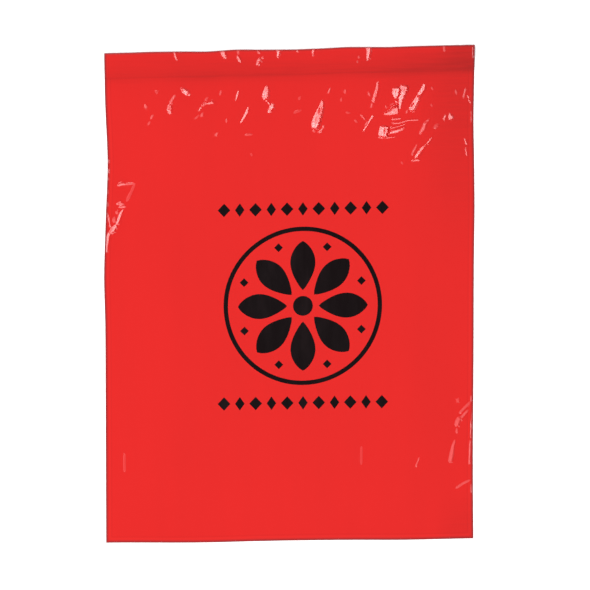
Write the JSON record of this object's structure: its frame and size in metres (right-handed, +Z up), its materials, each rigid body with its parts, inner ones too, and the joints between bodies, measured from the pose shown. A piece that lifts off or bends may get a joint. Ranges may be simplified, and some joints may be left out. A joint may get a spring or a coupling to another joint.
{
  "type": "specimen transport bag",
  "caption": "Flat empty red film bag lying face up, welded down both sides and across the bottom, with a narrow fold-over flap along its mouth.",
  "frame": {"origin": "on the surface the bag lies on, under the middle of the bag", "axes": "+X across the bag, +Y along the bag towards the top fold and flap, +Z up through the printed front"},
  "size_m": [0.2286, 0.3048, 0.003],
  "materials": {
    "red_film": "glossy blown film, slightly wrinkled",
    "black_ink": "black flexographic ink, satin"
  },
  "bodies": {
    "bag": {"bag_film": "red_film"},
    "flap": {"closure_flap": "red_film"}
  },
  "joints": [
    {"name": "flap_fold", "type": "hinge", "parent": "bag", "child": "flap", "pos_m": [0, 0.15157, 0.00082], "axis": [-1, 0, 0], "range_deg": [0, 170]}
  ]
}
